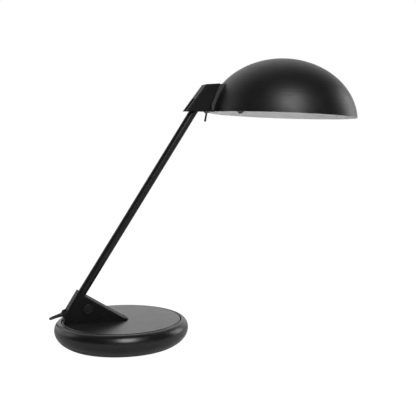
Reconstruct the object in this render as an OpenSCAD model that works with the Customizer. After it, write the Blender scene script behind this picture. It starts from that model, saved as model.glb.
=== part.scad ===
// Dome shade desk lamp on a round turning base.
// Millimetres. The origin is the centre of the base's underside, +Z is up,
// and the arm leans towards +X in the plane y = 0.

/* [Base] */
// Radius of the cast base at its widest
base_r = 97.5; // [94:0.5:104]
// Height of the base's widest line
bead_z = 21.5; // [20:0.5:23]
// Height of the crown of the base's rounded edge
crown_z = 34; // [33:0.5:36]
// How far the crown lies inside the widest line
crown_in = 10; // [8:0.5:11]
// Half width of the long curve under the widest line
under_rx = 37.5; // [30:0.5:45]
// Half height of the long curve under the widest line
under_rz = 25; // [24:0.5:30]
// Depth of the well inside the crown
well_depth = 8.5; // [8:0.5:9]
// Thickness of the casting's floor
floor_t = 11; // [9:0.5:11.5]
// Width of the cast ring under the crown
ring_w = 13.5; // [12:0.5:16]
// How far the boss for the swivel hangs below the floor
boss_drop = 4; // [3:0.5:4]
// Thickness of the felt under the base
felt_t = 1.5; // [1:0.25:1.75]
// How far the felt's edge lies inside the cover plate's edge
felt_in = 4; // [2:0.5:8]
// Thickness of the cover plate under the base
cover_t = 1.5; // [1:0.25:1.5]
// How far the cover plate's edge lies inside the foot edge
cover_in = 2; // [1.5:0.25:3]
// How far the three cover screws lie inside the cover plate's edge
cover_screw_in = 20.5; // [16:0.5:26]
// Radius of a cover screw's shank
cover_screw_r = 1.5; // [1.25:0.25:2]
// Length of a cover screw's shank above the cover plate
cover_screw_l = 7; // [5:0.5:8]

/* [Turntable] */
// Gap between the turning disc and the casting's crown
disc_gap = 1.2; // [1:0.1:3]
// Height of the disc's top above the floor of the casting
disc_rise = 9; // [8.5:0.5:10]
// Thickness of the disc
disc_t = 4; // [3.5:0.25:4.5]
// Radius of the disc's rounded edge
disc_edge_r = 2; // [1:0.25:2.5]
// How far the middle of the slide ring lies inside the well's edge
slide_in = 18.5; // [14:0.5:24]
// Width of the slide ring
slide_w = 12; // [8:1:16]
// Thickness of the slide ring and of the bush's flange
slide_t = 1.5; // [1:0.25:2]
// Radius of the swivel stud
stud_r = 4; // [3:0.25:5]
// Wall of the bush round the stud
bush_wall = 2; // [1.5:0.25:3]
// Width of the bush's flange beyond the bush
bush_flange_w = 4; // [3:0.5:6]
// Thickness of the thrust washer
washer_t = 1.2; // [1:0.1:1.4]
// Thickness of the spring washer
spring_washer_t = 1; // [0.8:0.1:1.2]
// Thickness of the swivel nut
nut_t = 4; // [3:0.25:4]

/* [Wedge] */
// Width of the wedge housing
wedge_w = 28; // [27:0.5:32]
// How far the wedge's upper edge lies in front of its back
wedge_apex_in = 20.6; // [20.4:0.1:22]
// Height of the wedge's upper edge above the disc
wedge_h = 45.1; // [44:0.1:47]
// How far the upright part of the wedge's back lies inside the disc's edge
wedge_back_in = 2.1; // [1:0.1:2.5]
// Lean of the sloping part of the wedge's back from the vertical
wedge_back_lean = 31.5; // [31:0.1:32]
// Slope of the wedge's front below the horizontal
wedge_slope = 32.3; // [32:0.1:33]
// Length of the wedge at its foot
wedge_l = 93.7; // [92:0.1:95]
// Radius of the wedge's rounded upper long edges
wedge_edge_r = 2; // [1.5:0.25:4.5]
// Radius of the wedge's rounded rear edges
wedge_rear_r = 3.5; // [2.5:0.5:8]
// Wall of the wedge housing
wedge_wall = 2; // [1.5:0.25:2.25]
// How far the rear foot screw lies in front of the wedge's upper edge
foot_screw_in = 11; // [9:0.5:14]
// Radius of the foot screws' shanks
foot_screw_r = 2; // [1.5:0.25:2.25]
// Width of the upright tab that holds the side screw
tab_w = 10; // [8:0.5:11]
// Thickness of the upright tab
tab_t = 3; // [2:0.25:3.5]
// How far the tab stands above the side screw
tab_rise = 2; // [1.8:0.1:2.5]
// Thickness of the foot plate under the wedge
foot_plate_t = 3; // [2.5:0.25:3.5]
// How far the foot plate stands out past the housing
foot_plate_lip = 0.8; // [0:0.1:1]
// How far the clamp screw lies in front of the wedge's back
clamp_in = 33.9; // [33:0.1:34.2]
// Height of the clamp screw above the disc
clamp_h = 20.4; // [20:0.1:21]
// Radius of the clamp screw's round head
clamp_head_r = 7.8; // [6:0.2:8.4]
// Thickness of the clamp screw's round head
clamp_head_t = 2.6; // [2:0.2:4]
// Radius of the clamp screw's shank
clamp_shank_r = 3; // [2.5:0.25:3.5]
// How far the small side screw lies in front of the wedge's back
side_screw_in = 55.9; // [54:0.1:57]
// Height of the side screw above the disc
side_screw_h = 11.3; // [10.5:0.1:11.5]
// Radius of the small screws' heads
small_head_r = 2.4; // [2.2:0.1:2.8]
// Radius of the small screws' shanks
small_shank_r = 1.5; // [1.25:0.05:1.6]

/* [Arm] */
// Lean of the arm from the vertical
arm_lean = 32.57; // [32:0.01:33]
// How far in front of the wedge's back the arm's line meets the plane of the disc's top
arm_foot_in = 0.45; // [0.2:0.05:0.6]
// Outer radius of the arm tube
arm_r = 6; // [5.5:0.1:6.2]
// Wall of the arm tube
arm_wall = 1.2; // [0.8:0.1:1.4]
// Distance along the arm from the disc's plane to the tube's lower end
arm_start = 25.5; // [25:0.25:27]
// Height of the head's pivot above the disc
pivot_h = 313.5; // [280:0.5:330]
// Distance from the tube's upper end to the pivot
lug_neck = 9; // [8.5:0.25:11]
// Radius of the round eye on the arm's end lug
eye_r = 7; // [6.5:0.1:7.1]
// Half the width of the eye
eye_half_w = 6; // [5:0.25:6.2]
// Length of the lug's plug inside the tube
lug_plug = 14; // [10:1:18]
// Radius of the pivot pin
pivot_r = 2.5; // [2:0.1:2.6]
// Radius of the lead inside the arm
inner_lead_r = 1.4; // [1.2:0.1:1.4]

/* [Head bracket] */
// Width of the bracket
bracket_w = 28; // [27:0.5:32]
// Wall of the bracket
bracket_wall = 2.5; // [2:0.1:2.6]
// Height of the bracket's upper rear corner above the pivot
bracket_up = 28.6; // [27:0.2:30]
// Rise of the bracket's top edge towards the shade
bracket_top_rise = 4; // [0:0.5:5]
// Depth of the bracket's lower edge below the pivot
bracket_down = 10.5; // [10:0.25:11.5]
// How far the upper rear corner stands in front of the pivot
bracket_rear_x = 9.4; // [9:0.1:10]
// Lean of the bracket's rear face from the vertical
bracket_rear_lean = 37.2; // [36.5:0.1:38]
// How far the lower front corner stands in front of the pivot
bracket_front_x = 13.4; // [13:0.1:14]
// Lean of the bracket's front face from the vertical
bracket_front_lean = 22.8; // [22:0.1:23.4]
// Radius of the bracket's rounded edges
bracket_edge_r = 1.8; // [1.5:0.1:3.5]
// How far the outer spacer lies inside the bracket's sides
spacer_in = 2.5; // [1:0.25:5]
// Half the width of the slot that the arm swings in
slot_half_w = 7.3; // [7:0.1:7.6]
// How far the slot reaches above the pivot
slot_up = 8; // [7.5:0.25:9]
// Thickness of the friction washers
friction_washer_t = 1.2; // [1:0.1:1.4]

/* [Switch] */
// How far the switch stands in front of the pivot
switch_x = 13.4; // [13:0.1:13.8]
// Width of the switch body along the head
switch_body_l = 8; // [7:0.25:8.5]
// Height of the switch body
switch_body_h = 8; // [7:0.25:8.2]
// Half the width of the switch body across the head
switch_body_half_w = 6.5; // [5:0.25:7]
// Thickness of the tab that holds the switch
switch_tab_t = 2; // [1.5:0.25:2.25]
// Outer radius of the switch's bushing
bushing_r = 3.2; // [3.1:0.1:3.6]
// Length of the bushing below the tab
bushing_drop = 2.4; // [2.2:0.1:3]
// Radius of the lever
lever_r = 1.45; // [1.2:0.05:1.5]
// Length of the lever below its pivot
lever_l = 14.6; // [12:0.2:18]
// Tilt of the lever from the vertical at either end of its throw
lever_tilt = 10.5; // [8:0.25:11]

/* [Shade] */
// Tilt of the shade and lampholder, rim down at the front
shade_tilt = 2.33; // [2:0.01:2.6]
// Distance from the pivot to the shade's widest edge
shade_edge_x = 20.3; // [19.8:0.1:21]
// Depth of the rim below the pivot
rim_drop = 10.3; // [9.5:0.1:11]
// Radius of the dome's curve at its widest
dome_rx = 113.3; // [112.8:0.1:113.8]
// Half height of the dome's curve
dome_rz = 94.2; // [92:0.1:97]
// How far the curve's widest line lies below the rim
dome_low = 9; // [8:0.1:10]
// Thickness of the spun metal
shade_t = 1.1; // [0.9:0.05:1.3]

/* [Lampholder] */
// Height of the lampholder's axis above the pivot
holder_up = 9.7; // [9.2:0.1:10.2]
// Radius of the threaded nipple
nipple_r = 5; // [4.5:0.1:5.5]
// Wall of the threaded nipple
nipple_wall = 1.3; // [1:0.1:1.5]
// Radius of the spacers on the nipple
spacer_r = 9; // [7.5:0.25:9]
// Radius of the lampholder
holder_r = 17; // [16.5:0.1:17.5]
// Length of the spacer between the shade and the lampholder
inner_spacer_l = 4.3; // [3.5:0.1:5]
// Length of the lampholder's cap
holder_cap_l = 17; // [15:0.5:18]
// Length of the lampholder's skirt
holder_skirt_l = 22; // [20.5:0.5:24]
// Radius of the shade ring on the skirt
collar_r = 20.3; // [19:0.1:20.5]
// Length of the shade ring on the skirt
collar_l = 4.6; // [3:0.2:6]
// Radius of the bulb's screw cap
cap_r = 13.1; // [12.9:0.05:13.2]
// Length of the bulb's screw cap
cap_l = 25; // [24:0.5:26]
// Radius of the bulb's glass
glass_r = 17.5; // [16:0.1:18]
// Length of the bulb's glass
glass_l = 72; // [60:1:76]

/* [Lead] */
// Radius of the mains lead
cord_r = 2; // [1.8:0.1:2]
// Height of the lead's exit above the disc
exit_h = 12.3; // [12:0.1:12.6]
// Slope of the lead's exit below the horizontal
exit_dip = 18; // [14:1:22]
// Mean radius of the coil of spare lead
coil_r = 23; // [22:0.25:24]
// Turns in each of the coil's four layers
layer_turns = 2.75; // [1.75:0.5:2.75]
// Distance between neighbouring turns and between layers
coil_pitch = 4.5; // [4.5:0.05:4.8]
// Width of the strap round the coil
tie_w = 10; // [6:0.5:10]
// Thickness of the strap round the coil
tie_t = 0.9; // [0.6:0.1:0.9]

/* [Plug] */
// Width of the plug
plug_w = 35.4; // [33:0.2:37]
// Thickness of the plug
plug_t = 13.7; // [13.7:0.1:13.8]
// Length of the plug's body
plug_l = 34; // [30:0.5:38]
// Length of the sleeve behind the plug
sleeve_l = 14; // [10:0.5:16]
// Distance between the plug's pins
pin_gap = 18.6; // [18:0.1:19.2]
// Radius of a plug pin
pin_r = 2; // [2:0.05:2.4]
// Length of a plug pin
pin_l = 19; // [17:0.5:19]

/* [Hidden] */
$fn = 96;
// Clearances: a turning or sliding fit, and a gap between pieces that do not fit each other
fit = 0.05;
gap = 0.3;
far = 400;

floor_z = crown_z - well_depth;
disc_z = floor_z + disc_rise;
well_r = base_r - crown_in;
disc_r = well_r - disc_gap;
slide_r = well_r - slide_in;
casting_z = felt_t;
cover_top = felt_t + cover_t;
foot_dz = bead_z - casting_z;
foot_r = base_r - under_rx + under_rx * sqrt(1 - pow(foot_dz / under_rz, 2));
cover_r = foot_r - cover_in;
cover_screw_at = cover_r - cover_screw_in;
bush_r = stud_r + fit + bush_wall;
boss_r = bush_r + bush_flange_w + 8;
boss_z = floor_z - floor_t - boss_drop;
slide_z = floor_z + slide_t;
hub_r = bush_r + bush_flange_w + 4;
stud_top = disc_z - 3;
screw_boss_r = 5;

wedge_back_x = disc_r - wedge_back_in;
wedge_apex_x = wedge_back_x - wedge_apex_in;
wedge_nose_x = wedge_l - wedge_back_x;
clamp_x = wedge_back_x - clamp_in;
side_screw_x = wedge_back_x - side_screw_in;
arm_foot_x = wedge_back_x - arm_foot_in;
foot_screw_head_r = foot_screw_r + 1.6;
foot_screw_at = [wedge_apex_x - foot_screw_in, hub_r + foot_screw_head_r + 1.4];
foot_screw_shank = disc_t + foot_plate_t - 1;

foot_top = disc_z + foot_plate_t;
nose_cx = wedge_nose_x - wedge_w / 2;
clamp_at = [-clamp_x, disc_z + clamp_h];
arm_dir = [sin(arm_lean), cos(arm_lean)];
arm_side = [cos(arm_lean), -sin(arm_lean)];
clamp_rel = clamp_at - [-arm_foot_x, disc_z];
clamp_along = clamp_rel * arm_dir;
clamp_out = clamp_rel * arm_side;
pivot_along = pivot_h / cos(arm_lean);
tube_l = pivot_along - lug_neck - arm_start;
bore_r = arm_r - arm_wall;
pivot = [-arm_foot_x + pivot_h * tan(arm_lean), 0, disc_z + pivot_h];

bracket_top_z = pivot[2] + bracket_up;
bracket_low_z = pivot[2] - bracket_down;
tab_top = -bracket_down + switch_tab_t;
washer_out = eye_half_w + friction_washer_t;
inner_half_w = bracket_w / 2 - bracket_wall;
shade_reach = dome_rx + shade_edge_x;
// The shade's inner wall at the height of the lampholder's axis
wall_x = shade_reach - (dome_rx - shade_t)
  * sqrt(1 - pow((holder_up + rim_drop + dome_low) / (dome_rz - shade_t), 2));
holder_start = wall_x + inner_spacer_l;
holder_skirt_x = holder_start + holder_cap_l;
holder_end = holder_skirt_x + holder_skirt_l;
cap_x = holder_skirt_x + 3.5;
glass_x = cap_x + cap_l - 1;
lever_pivot = -bracket_down - 0.5;

exit_z = disc_z + exit_h;
exit_at = [-wedge_back_x - 1.8, 0, exit_z];
flange_t = 1.4;
grommet_r = 3.5;
// The lead's free stretch, from the grommet to the coil, in round numbers
cord_route = [
  [-86, 0, 46.8], [-89.4, 0.1, 45.7], [-93.2, 1.2, 44.1], [-97.9, 4.5, 41.7],
  [-100.8, 9.6, 39.3], [-101.5, 15.5, 37.5], [-101, 26, 34.8], [-100.3, 37, 32],
  [-99.3, 48, 29.3], [-98, 59, 26.6], [-96.5, 70, 24], [-94.8, 81, 21.5],
  [-92.7, 92, 19.1], [-90.3, 103, 16.8], [-87.5, 113.5, 14.7], [-84.2, 124, 12.8],
  [-80.2, 134, 10.9], [-75.6, 143.5, 9], [-69.6, 152, 7.2], [-62, 159, 5.6],
  [-53.5, 164, 4.4], [-45, 166.7, 3.6], [-39, 167.2, 3.3], [-34, 167.2, 3.3]
];
// The lead's free stretch, from the coil to the plug, in round numbers
tail_route = [
  [-26, 167.2, 16.8], [-21, 167.2, 16.8], [-14, 167, 15.8], [-6.5, 166.6, 13.7],
  [1, 165.9, 11.3], [8, 164.8, 9.3], [14.1, 163.3, 7.8], [19.7, 160.5, 7.1],
  [24.7, 156.7, 6.9], [28.7, 151.9, 6.9], [31.8, 146.6, 6.9]
];
coil_at = [-30, 138];
coil_low = 3.3;
plug_at = [31.8, 146.6, 6.9];
plug_turn = -60;

cord_sides = 8;
loop_sides = 6;
loop_rings = 24;

function unit(v) = v / norm(v);

// Points on an oval arc, from angle a to angle b in n steps
function oval(cx, cz, rx, rz, a, b, n) =
  [for (i = [0:n]) let (t = a + (b - a) * i / n) [cx + rx * cos(t), cz + rz * sin(t)]];

function tangent(path, i) =
  unit(path[min(i + 1, len(path) - 1)] - path[max(i - 1, 0)]);

function ring(p, t, r, n) =
  let (s = unit(cross(t, [0, 0, 1])), u = cross(s, t))
  [for (k = [0:n - 1]) p + r * (cos(360 * k / n) * s + sin(360 * k / n) * u)];

// One closed tube of n sides and radius r along a path
module swept_tube(path, r, n) {
  m = len(path);
  rings = [for (i = [0:m - 1]) each ring(path[i], tangent(path, i), r, n)];
  sides = [
    for (i = [0:m - 2], k = [0:n - 1])
      let (a = i * n + k, b = i * n + (k + 1) % n)
      each [[a, a + n, b + n], [a, b + n, b]]
  ];
  caps = [
    for (k = [1:n - 2])
      each [[0, k, k + 1], [(m - 1) * n, (m - 1) * n + k + 1, (m - 1) * n + k]]
  ];
  polyhedron(points = rings, faces = concat(sides, caps), convexity = 10);
}

// A straight round rod from p to q
module rod(p, q, r) {
  d = q - p;
  translate(p)
    rotate([0, acos(d[2] / norm(d)), atan2(d[1], d[0])])
      cylinder(h = norm(d), r = r, $fn = 48);
}

// A long bar whose outer face passes through (x, z) and faces the angle a above +X,
// with its two long edges on that face rounded by r
module faced_bar(x, z, a, w, r, depth) {
  translate([x, 0, z])
    rotate([0, -a, 0])
      linear_extrude(height = far, center = true) {
        translate([-depth, -w / 2])
          square([depth - r, w]);
        translate([-depth, -w / 2 + r])
          square([depth, w - 2 * r]);
        for (s = [-1, 1])
          translate([-r, s * (w / 2 - r)])
            circle(r = r);
      }
}

// A cylinder along Y, centred at (x, z)
module cross_rod(x, z, r, y0, y1) {
  translate([x, y0, z])
    rotate([-90, 0, 0])
      cylinder(h = y1 - y0, r = r);
}

// The frame of the arm: Z runs along the tube, X stands square to it in the arm's plane
module in_arm() {
  translate([-arm_foot_x, 0, disc_z])
    rotate([0, arm_lean, 0])
      children();
}

// The frame of the head at its pivot
module in_head() {
  translate(pivot)
    children();
}

// The frame of the lampholder: its origin at the pivot, Z along the lampholder's axis
module in_holder(x) {
  translate(pivot)
    rotate([0, shade_tilt, 0])
      translate([x, 0, holder_up])
        rotate([0, 90, 0])
          children();
}

// The shade's own frame, with its origin at the centre of the rim
module in_shade() {
  translate(pivot)
    rotate([0, shade_tilt, 0])
      translate([shade_reach, 0, -rim_drop])
        children();
}

// The lead's exit: Z runs into the wedge from the grommet's outer face
module in_exit(s) {
  translate(exit_at)
    rotate([0, 90 - exit_dip, 0])
      translate([0, 0, s])
        children();
}

module base_casting() {
  low = -asin(foot_dz / under_rz);
  outline = concat(
    [[bush_r + fit, boss_z], [boss_r, boss_z], [boss_r, floor_z - floor_t]],
    [[well_r - ring_w, floor_z - floor_t], [well_r - ring_w, cover_top]],
    [[cover_r + gap, cover_top], [cover_r + gap, casting_z]],
    oval(base_r - under_rx, bead_z, under_rx, under_rz, low, 0, 12),
    oval(well_r, bead_z, crown_in, crown_z - bead_z, 6, 90, 14),
    [[well_r, floor_z], [bush_r + fit, floor_z]]
  );
  color("#1c1c1e")
    difference() {
      union() {
        rotate_extrude($fn = 180)
          polygon(outline);
        for (a = [60, 180, 300])
          rotate(a)
            translate([cover_screw_at, 0, cover_top])
              cylinder(h = floor_z - floor_t - cover_top + 1, r = screw_boss_r);
      }
      for (a = [60, 180, 300])
        rotate(a)
          translate([cover_screw_at, 0, cover_top - 1])
            cylinder(h = cover_screw_l + 3, r = cover_screw_r + fit);
    }
}

module cover_screw_holes(r, z, h) {
  for (a = [60, 180, 300])
    rotate(a)
      translate([cover_screw_at, 0, z])
        cylinder(h = h, r = r);
}

module felt_pad() {
  color("#30302f")
    difference() {
      cylinder(h = felt_t, r = cover_r - felt_in, $fn = 180);
      cover_screw_holes(cover_screw_r + 2.7, -1, felt_t + 2);
    }
}

module cover_plate() {
  color("#8b8d90")
    difference() {
      translate([0, 0, felt_t])
        cylinder(h = cover_t, r = cover_r, $fn = 180);
      cover_screw_holes(cover_screw_r + 0.2, felt_t - 1, cover_t + 2);
    }
}

module cover_screws() {
  color("#a9abad") {
    cover_screw_holes(cover_screw_r + 1.8, 0.4, felt_t - 0.4);
    cover_screw_holes(cover_screw_r, felt_t - 0.1, cover_t + cover_screw_l);
  }
}

module slide_ring() {
  color("#e4e2da")
    translate([0, 0, floor_z])
      difference() {
        cylinder(h = slide_t, r = slide_r + slide_w / 2);
        translate([0, 0, -1])
          cylinder(h = slide_t + 2, r = slide_r - slide_w / 2);
      }
}

module swivel_bush() {
  color("#e4e2da")
    difference() {
      union() {
        translate([0, 0, boss_z])
          cylinder(h = floor_z - boss_z + slide_t, r = bush_r);
        translate([0, 0, floor_z])
          cylinder(h = slide_t, r = bush_r + bush_flange_w);
      }
      translate([0, 0, boss_z - 1])
        cylinder(h = far, r = stud_r + fit);
    }
}

// A washer that hangs below height z, with thickness t
module washer_below(z, t, r_in, r_out) {
  translate([0, 0, z - t])
    difference() {
      cylinder(h = t, r = r_out);
      translate([0, 0, -1])
        cylinder(h = t + 2, r = r_in);
    }
}

module thrust_washer() {
  color("#a9abad")
    washer_below(boss_z, washer_t, stud_r + 0.2, bush_r + bush_flange_w);
}

module spring_washer() {
  color("#8b8d90")
    washer_below(boss_z - washer_t, spring_washer_t, stud_r + 0.1, stud_r + 3);
}

module swivel_nut() {
  color("#a9abad")
    translate([0, 0, boss_z - washer_t - spring_washer_t - nut_t])
      difference() {
        cylinder(h = nut_t, r = stud_r * 1.87, $fn = 6);
        translate([0, 0, -1])
          cylinder(h = nut_t + 2, r = stud_r + fit);
      }
}

module swivel_stud() {
  low = boss_z - washer_t - spring_washer_t - nut_t - 0.2;
  color("#a9abad")
    translate([0, 0, low])
      cylinder(h = stud_top - low, r = stud_r);
}

module turntable_disc() {
  under = disc_z - disc_t;
  e = disc_edge_r;
  outline = concat(
    [[0, stud_top], [stud_r + fit, stud_top], [stud_r + fit, slide_z], [hub_r, slide_z]],
    [[hub_r, under], [slide_r - slide_w / 2 + 0.5, under]],
    [[slide_r - slide_w / 2 + 0.5, slide_z], [slide_r + slide_w / 2 - 0.5, slide_z]],
    [[slide_r + slide_w / 2 - 0.5, under], [disc_r - 2.5, under]],
    [[disc_r - 2.5, floor_z + 1], [disc_r, floor_z + 1]],
    oval(disc_r - e, disc_z - e, e, e, 0, 90, 8),
    [[0, disc_z]]
  );
  color("#1c1c1e")
    difference() {
      rotate_extrude($fn = 180)
        polygon(outline);
      for (x = foot_screw_at)
        translate([-x, 0, under - 1])
          cylinder(h = disc_t + 2, r = foot_screw_r + fit);
    }
}

// The wedge's outer shape, grown outwards by g
module wedge_shape(g) {
  edge = max(wedge_edge_r + g, 0.4);
  rear = max(wedge_rear_r + g, 0.4);
  w = wedge_w + 2 * g;
  intersection() {
    faced_bar(-wedge_apex_x + g * sin(wedge_slope), disc_z + wedge_h + g * cos(wedge_slope),
      90 - wedge_slope, w, edge, far);
    faced_bar(-wedge_apex_x - g * cos(wedge_back_lean),
      disc_z + wedge_h + g * sin(wedge_back_lean), 180 - wedge_back_lean, w, rear, far);
    faced_bar(-wedge_back_x - g, disc_z, 180, w, rear, far);
    union() {
      translate([-far, -w / 2, 0])
        cube([far + nose_cx, w, far]);
      translate([nose_cx, 0, 0])
        cylinder(h = far, r = w / 2);
    }
  }
}

module foot_plate() {
  tab_top_z = disc_z + side_screw_h + tab_rise;
  color("#202022")
    difference() {
      union() {
        intersection() {
          wedge_shape(foot_plate_lip);
          translate([-far / 2, -far / 2, disc_z])
            cube([far, far, foot_plate_t]);
        }
        translate([-side_screw_x - tab_w / 2, -inner_w() + 0.2, foot_top - 0.5])
          cube([tab_w, tab_t, tab_top_z - foot_top + 0.5]);
      }
      for (x = foot_screw_at)
        translate([-x, 0, disc_z - 1])
          cylinder(h = foot_plate_t, r = foot_screw_r + fit);
      cross_rod(-side_screw_x, disc_z + side_screw_h, small_shank_r + fit, -far / 4, 0);
    }
}

function inner_w() = wedge_w / 2 - wedge_wall;
function jaw_half_w() = inner_w() - 2.2;

module foot_screws() {
  color("#a9abad")
    for (x = foot_screw_at) {
      translate([-x, 0, disc_z - disc_t])
        cylinder(h = foot_screw_shank - 0.1, r = foot_screw_r);
      translate([-x, 0, disc_z - disc_t - 1.6])
        cylinder(h = 1.6, r = foot_screw_head_r);
    }
}

module wedge_housing() {
  color("#1c1c1e")
    difference() {
      union() {
        intersection() {
          wedge_shape(0);
          translate([-far / 2, -far / 2, foot_top])
            cube([far, far, far]);
        }
        in_exit(flange_t)
          cylinder(h = 6, r = 5.6);
      }
      intersection() {
        wedge_shape(-wedge_wall);
        translate([-far / 2, -far / 2, foot_top - 1])
          cube([far, far, far]);
      }
      in_arm()
        translate([0, 0, arm_start - 1])
          cylinder(h = far / 4, r = arm_r + 0.1);
      cross_rod(clamp_at[0], clamp_at[1], clamp_shank_r + fit, -far / 4, 0);
      cross_rod(-side_screw_x, disc_z + side_screw_h, small_shank_r + 0.1, -far / 4, 0);
      in_exit(0)
        cylinder(h = 12, r = grommet_r + 0.1);
      in_exit(-4)
        cylinder(h = 4 + flange_t, r = grommet_r + 1.6);
    }
}

module clamp_jaws() {
  front = clamp_out + 5.5;
  color("#8b8d90")
    difference() {
      in_arm()
        difference() {
          translate([-4, -jaw_half_w(), clamp_along - 7])
            cube([front + 4, 2 * jaw_half_w(), 14]);
          cylinder(h = far / 4, r = arm_r + fit);
          translate([0, -1.7, clamp_along - 8])
            cube([front + 1, 1.4, 16]);
        }
      cross_rod(clamp_at[0], clamp_at[1], clamp_shank_r + fit, -far / 4, far / 4);
    }
}

module clamp_screw() {
  y0 = -wedge_w / 2 - clamp_head_t;
  color("#1c1c1e") {
    translate([clamp_at[0], y0, clamp_at[1]])
      rotate([-90, 0, 0])
        rotate_extrude()
          polygon(concat(
            [[0, clamp_head_t], [0, 0]],
            oval(clamp_head_r - 1.2, 1.2, 1.2, 1.2, -90, 0, 6),
            [[clamp_head_r, clamp_head_t]]
          ));
    cross_rod(clamp_at[0], clamp_at[1], clamp_shank_r, -wedge_w / 2 - 0.1, jaw_half_w() - 0.2);
  }
}

module side_screw() {
  x = -side_screw_x;
  z = disc_z + side_screw_h;
  color("#2a2a2c")
    difference() {
      union() {
        cross_rod(x, z, small_head_r, -wedge_w / 2 - 1.2, -wedge_w / 2);
        cross_rod(x, z, small_shank_r, -wedge_w / 2 - 0.1, -wedge_w / 2 + 6);
      }
      translate([x - far / 8, -wedge_w / 2 - 2, z - 0.4])
        cube([far / 4, 1.4, 0.8]);
    }
}

module arm_tube() {
  color("#1c1c1e")
    in_arm()
      translate([0, 0, arm_start])
        difference() {
          cylinder(h = tube_l, r = arm_r);
          translate([0, 0, -1])
            cylinder(h = tube_l + 2, r = bore_r);
        }
}

// The inner lead's bend and upper end, in the arm's frame
lead_bend = [-0.8, 0, pivot_along - lug_neck - lug_plug];
lead_top = [-5.1, 0, pivot_along + 3];

module arm_end_lug() {
  color("#1c1c1e")
    difference() {
      in_arm() {
        translate([0, 0, pivot_along - lug_neck - lug_plug])
          cylinder(h = lug_plug + 0.1, r = bore_r - fit);
        translate([0, 0, pivot_along - lug_neck])
          cylinder(h = lug_neck, r = arm_r);
        translate([0, 0, pivot_along])
          rotate([90, 0, 0])
            cylinder(h = 2 * eye_half_w, r = eye_r, center = true);
      }
      cross_rod(pivot[0], pivot[2], pivot_r + fit, -far / 4, far / 4);
      in_arm()
        rod(lead_bend - (lead_top - lead_bend) * 0.1,
          lead_top + (lead_top - lead_bend) * 0.3, inner_lead_r + 0.15);
    }
}

module arm_lead() {
  color("#26262a")
    in_arm() {
      rod([-0.8, 0, arm_start + 1], lead_bend, inner_lead_r);
      translate(lead_bend)
        sphere(r = inner_lead_r + 0.04, $fn = 48);
      rod(lead_bend, lead_top, inner_lead_r);
    }
}

module cord_grommet() {
  color("#111112")
    in_exit(0)
      difference() {
        union() {
          cylinder(h = flange_t, r = grommet_r + 1.5);
          cylinder(h = 9, r = grommet_r);
        }
        translate([0, 0, flange_t])
          cylinder(h = 9, r = inner_lead_r + 0.2);
      }
}

module power_cord() {
  color("#161618")
    swept_tube(cord_route, cord_r, cord_sides);
}

module cord_tail() {
  color("#161618")
    swept_tube(tail_route, cord_r, cord_sides);
}

turns = 4 * layer_turns;
coil_out = coil_r + layer_turns * coil_pitch / 2;

// How far the coil has spiralled in at turn t: it goes in and out again every two layers
function coil_inset(t) =
  let (u = t % (2 * layer_turns)) coil_pitch * min(u, 2 * layer_turns - u);

// Layer height at turn t: a climb of one layer in the half turn round each reversal
function coil_climb(t) =
  let (layer = round(t / layer_turns), off = t - layer * layer_turns)
  (layer < 1 || layer > 3)
    ? (t < layer_turns ? 0 : 3)
    : (layer - 0.5) + 0.5 * sin(180 * max(-0.25, min(0.25, off)) * 2);

coil_path = concat(
  [[coil_at[0] - 2 * cord_r, coil_at[1] + coil_out, coil_low]],
  [
    for (i = [0:turns * loop_rings])
      let (t = i / loop_rings, a = 90 - 360 * t, r = coil_out - coil_inset(t))
      [coil_at[0] + r * cos(a), coil_at[1] + r * sin(a), coil_low + coil_pitch * coil_climb(t)]
  ],
  [[coil_at[0] + 2 * cord_r, coil_at[1] + coil_out, coil_low + 3 * coil_pitch]]
);

half_loop = loop_rings / 2;
coil_gap = min([
  for (i = [0:len(coil_path) - 1 - half_loop])
    min([for (j = [i + half_loop:len(coil_path) - 1]) norm(coil_path[i] - coil_path[j])])
]) - 2 * cord_r;
echo(least_gap_of_coil = coil_gap);

module cord_coil() {
  color("#161618")
    swept_tube(coil_path, cord_r, loop_sides);
}

module coil_tie() {
  near = coil_out - layer_turns * coil_pitch - cord_r - 1.3;
  far_r = coil_out + cord_r + gap;
  low = coil_low - cord_r - gap;
  high = coil_low + 3 * coil_pitch + cord_r + gap;
  color("#3a3a3c")
    translate([coil_at[0], coil_at[1], 0])
      difference() {
        translate([-far_r - tie_t, -tie_w / 2, low - tie_t])
          cube([far_r - near + 2 * tie_t, tie_w, high - low + 2 * tie_t]);
        translate([-far_r, -tie_w, low])
          cube([far_r - near, 2 * tie_w, high - low]);
      }
}

// The plug's frame: X runs from the lead towards the pins, at the plug's mid height
module in_plug() {
  translate(plug_at)
    rotate(plug_turn)
      children();
}

module plug_sleeve() {
  color("#161618")
    in_plug()
      rotate([0, 90, 0])
        difference() {
          cylinder(h = sleeve_l, r1 = cord_r + 1.2, r2 = cord_r + 2.4);
          translate([0, 0, sleeve_l - 2])
            cylinder(h = 3, r = 1);
        }
}

module plug_body() {
  e = 2.5;
  color("#161618")
    in_plug()
      translate([sleeve_l, 0, 0])
        intersection() {
          translate([0, 0, -plug_t / 2])
            linear_extrude(height = plug_t)
              polygon(concat(
                [[0, 7], [0, -7]],
                [[plug_l * 0.55, -plug_w / 2], [plug_l, -plug_w / 2]],
                [[plug_l, plug_w / 2], [plug_l * 0.55, plug_w / 2]]
              ));
          translate([-1, 0, 0])
            rotate([90, 0, 90])
              linear_extrude(height = plug_l + 2) {
                square([plug_w, plug_t - 2 * e], center = true);
                square([plug_w - 2 * e, plug_t], center = true);
                for (s = [-1, 1], t = [-1, 1])
                  translate([s * (plug_w / 2 - e), t * (plug_t / 2 - e)])
                    circle(r = e, $fn = 48);
              }
        }
}

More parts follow.
